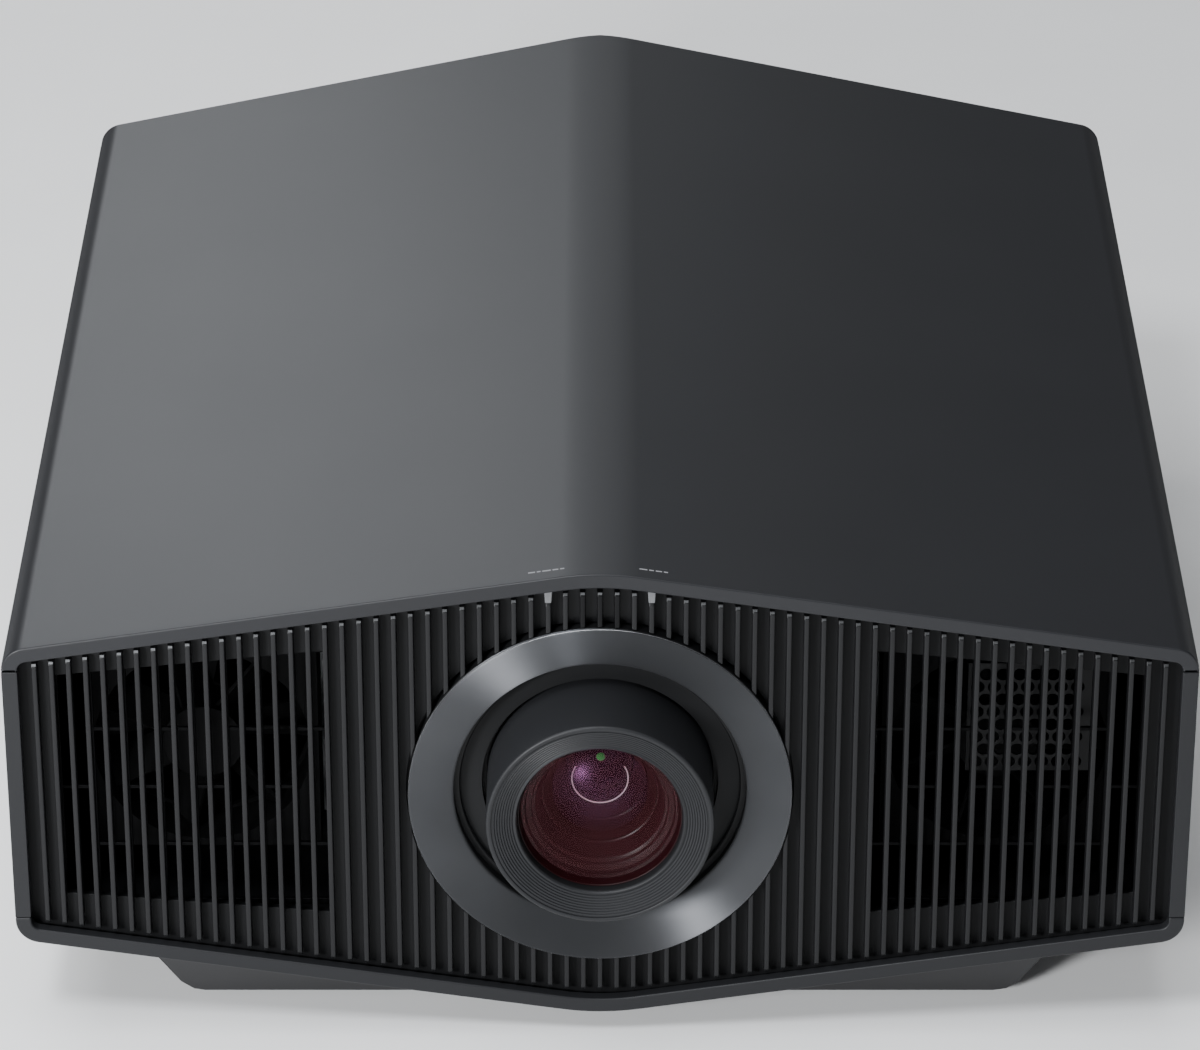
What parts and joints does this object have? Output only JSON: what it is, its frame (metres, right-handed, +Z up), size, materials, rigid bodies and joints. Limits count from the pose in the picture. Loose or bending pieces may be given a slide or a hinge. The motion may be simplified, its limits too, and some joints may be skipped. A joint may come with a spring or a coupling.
{
  "type": "home projector",
  "caption": "Home cinema projector: charcoal casing of hexagonal section, finned front with air windows, ringed lens that shifts, focuses and zooms, adjustable front feet.",
  "frame": {"origin": "on the floor, under the middle of the bounding box", "axes": "+X to the viewer's right seen from the front, +Y from the lens towards the rear, +Z up"},
  "size_m": [0.461, 0.5374, 0.21],
  "materials": {
    "casing_top": "fine matte paint, slightly bluish charcoal",
    "casing_lower": "fine matte paint",
    "casing_side": "fine matte paint",
    "casing_rear": "fine textured plastic",
    "base_black": "textured black plastic",
    "filter_foam": "open-cell foam",
    "grille_black": "satin black moulding",
    "guard_black": "matte black moulding",
    "punched_steel": "black-painted punched sheet",
    "trim_satin": "satin dark anodised, turned",
    "shroud_black": "matte black",
    "barrel_matte": "matte black with turned baffle grooves",
    "coated_glass": "coated optical glass with a red and magenta reflection",
    "prism_glass": "polished optical glass",
    "light_guide": "frosted clear plastic",
    "foot_rubber": "matte rubber",
    "steel": "plated steel",
    "cast_alloy": "die-cast alloy",
    "brass": "turned brass",
    "gear_plastic": "natural acetal",
    "panel_black": "black package",
    "phosphor": "phosphor-coated disc",
    "fan_black": "glass-filled black plastic",
    "circuit_board": "solder-masked board",
    "terminal_metal": "black-painted sheet",
    "socket_black": "black moulding",
    "button_black": "satin black"
  },
  "bodies": {
    "housing": {"top_cover": "casing_top", "bottom_cover": "casing_lower", "side_panel_left": "casing_side", "side_panel_right": "casing_side", "base_plinth": "base_black", "rear_panel": "casing_rear", "air_filter": "filter_foam", "front_grille": "grille_black", "guard_lattice_left": "guard_black", "guard_lattice_right": "guard_black", "perforated_plate": "punched_steel", "lens_trim_ring": "trim_satin", "lens_shroud": "shroud_black", "status_light_left": "light_guide", "status_light_right": "light_guide", "foot_pad_rear_left": "foot_rubber", "foot_pad_rear_right": "foot_rubber", "lens_shift_base": "cast_alloy", "vertical_shift_motor": "steel", "optical_block": "cast_alloy", "prism": "prism_glass", "panel_red": "panel_black", "panel_green": "panel_black", "panel_blue": "panel_black", "laser_light_source": "cast_alloy", "heat_sink": "cast_alloy", "fan_frame_left": "fan_black", "fan_frame_right": "fan_black", "power_supply": "steel", "main_board": "circuit_board", "terminal_plate": "terminal_metal", "ac_inlet": "socket_black", "hdmi_socket_1": "steel", "hdmi_socket_2": "steel"},
    "vertical_carriage": {"vertical_carriage": "cast_alloy", "horizontal_shift_motor": "steel"},
    "horizontal_carriage": {"horizontal_carriage": "cast_alloy", "front_barrel": "barrel_matte", "lens_barrel": "shroud_black", "front_element": "coated_glass", "rear_element": "coated_glass", "focus_motor": "steel", "zoom_motor": "steel"},
    "focus_ring": {"focus_ring": "gear_plastic"},
    "zoom_ring": {"zoom_ring": "gear_plastic"},
    "focus_pinion": {"focus_pinion": "brass"},
    "zoom_pinion": {"zoom_pinion": "brass"},
    "vertical_lead_screw": {"vertical_lead_screw": "steel"},
    "horizontal_lead_screw": {"horizontal_lead_screw": "steel"},
    "phosphor_wheel": {"phosphor_wheel": "phosphor"},
    "fan_rotor_left": {"fan_rotor_left": "fan_black"},
    "fan_rotor_right": {"fan_rotor_right": "fan_black"},
    "foot_pad_front_left": {"foot_pad_front_left": "foot_rubber"},
    "foot_screw_front_left": {"foot_screw_front_left": "steel"},
    "foot_pad_front_right": {"foot_pad_front_right": "foot_rubber"},
    "foot_screw_front_right": {"foot_screw_front_right": "steel"},
    "filter_cover": {"filter_cover": "casing_rear"},
    "power_button": {"power_button": "button_black"},
    "menu_button": {"menu_button": "button_black"},
    "cursor_pad": {"cursor_pad": "button_black"}
  },
  "joints": [
    {"name": "lens_shift_vertical", "type": "slide", "parent": "housing", "child": "vertical_carriage", "axis": [0, 0, 1], "range_m": [-0.0065, 0.0065]},
    {"name": "lens_shift_horizontal", "type": "slide", "parent": "vertical_carriage", "child": "horizontal_carriage", "axis": [1, 0, 0], "range_m": [-0.0045, 0.0045]},
    {"name": "vertical_screw_turn", "type": "hinge", "parent": "housing", "child": "vertical_lead_screw", "pos_m": [0.108, -0.1412, 0.11075], "axis": [0, 0, 1], "range_deg": [-1172, 1172]},
    {"name": "horizontal_screw_turn", "type": "hinge", "parent": "vertical_carriage", "child": "horizontal_lead_screw", "pos_m": [0, -0.1482, 0.18275], "axis": [1, 0, 0], "range_deg": [-812, 812]},
    {"name": "focus_turn", "type": "hinge", "parent": "horizontal_carriage", "child": "focus_ring", "pos_m": [0, -0.1997, 0.11075], "axis": [0, 1, 0], "range_deg": [-45, 45]},
    {"name": "zoom_turn", "type": "hinge", "parent": "horizontal_carriage", "child": "zoom_ring", "pos_m": [0, -0.1797, 0.11075], "axis": [0, 1, 0], "range_deg": [-40, 40]},
    {"name": "focus_pinion_turn", "type": "hinge", "parent": "horizontal_carriage", "child": "focus_pinion", "pos_m": [0.04031, -0.1997, 0.15106], "axis": [0, 1, 0], "range_deg": [-241, 241]},
    {"name": "zoom_pinion_turn", "type": "hinge", "parent": "horizontal_carriage", "child": "zoom_pinion", "pos_m": [-0.04031, -0.1797, 0.15106], "axis": [0, 1, 0], "range_deg": [-215, 215]},
    {"name": "phosphor_wheel_spin", "type": "hinge", "parent": "housing", "child": "phosphor_wheel", "pos_m": [0.076, 0.0518, 0.10275], "axis": [1, 0, 0], "continuous": true},
    {"name": "fan_left_spin", "type": "hinge", "parent": "housing", "child": "fan_rotor_left", "pos_m": [-0.157, -0.1962, 0.11075], "axis": [0, 1, 0], "continuous": true},
    {"name": "fan_right_spin", "type": "hinge", "parent": "housing", "child": "fan_rotor_right", "pos_m": [0.157, -0.1962, 0.11075], "axis": [0, 1, 0], "continuous": true},
    {"name": "foot_left_extend", "type": "slide", "parent": "housing", "child": "foot_pad_front_left", "axis": [0, 0, 1], "range_m": [-0.012, 0]},
    {"name": "foot_left_screw_turn", "type": "hinge", "parent": "foot_pad_front_left", "child": "foot_screw_front_left", "pos_m": [-0.14, -0.1862, 0.01575], "axis": [0, 0, 1], "range_deg": [-3458, 1]},
    {"name": "foot_right_extend", "type": "slide", "parent": "housing", "child": "foot_pad_front_right", "axis": [0, 0, 1], "range_m": [-0.012, 0]},
    {"name": "foot_right_screw_turn", "type": "hinge", "parent": "foot_pad_front_right", "child": "foot_screw_front_right", "pos_m": [0.14, -0.1862, 0.01575], "axis": [0, 0, 1], "range_deg": [-3458, 1]},
    {"name": "filter_cover_pull", "type": "slide", "parent": "housing", "child": "filter_cover", "axis": [0, 1, 0], "range_m": [0, 0.04]},
    {"name": "power_press", "type": "slide", "parent": "housing", "child": "power_button", "axis": [-1, 0, 0], "range_m": [0, 0.001], "stiffness_N_per_m": 400, "springref_m": -0.001},
    {"name": "menu_press", "type": "slide", "parent": "housing", "child": "menu_button", "axis": [-1, 0, 0], "range_m": [0, 0.001], "stiffness_N_per_m": 400, "springref_m": -0.001},
    {"name": "cursor_press", "type": "slide", "parent": "housing", "child": "cursor_pad", "axis": [-1, 0, 0], "range_m": [0, 0.001], "stiffness_N_per_m": 400, "springref_m": -0.001}
  ],
  "couplings": [
    {"joint": "vertical_screw_turn", "follows": "lens_shift_vertical", "rad_per_m": 3141.6},
    {"joint": "horizontal_screw_turn", "follows": "lens_shift_horizontal", "rad_per_m": 3141.6},
    {"joint": "focus_pinion_turn", "follows": "focus_turn", "ratio": -5.3333},
    {"joint": "zoom_pinion_turn", "follows": "zoom_turn", "ratio": -5.3333},
    {"joint": "foot_left_screw_turn", "follows": "foot_left_extend", "rad_per_m": 5026.5},
    {"joint": "foot_right_screw_turn", "follows": "foot_right_extend", "rad_per_m": 5026.5}
  ]
}
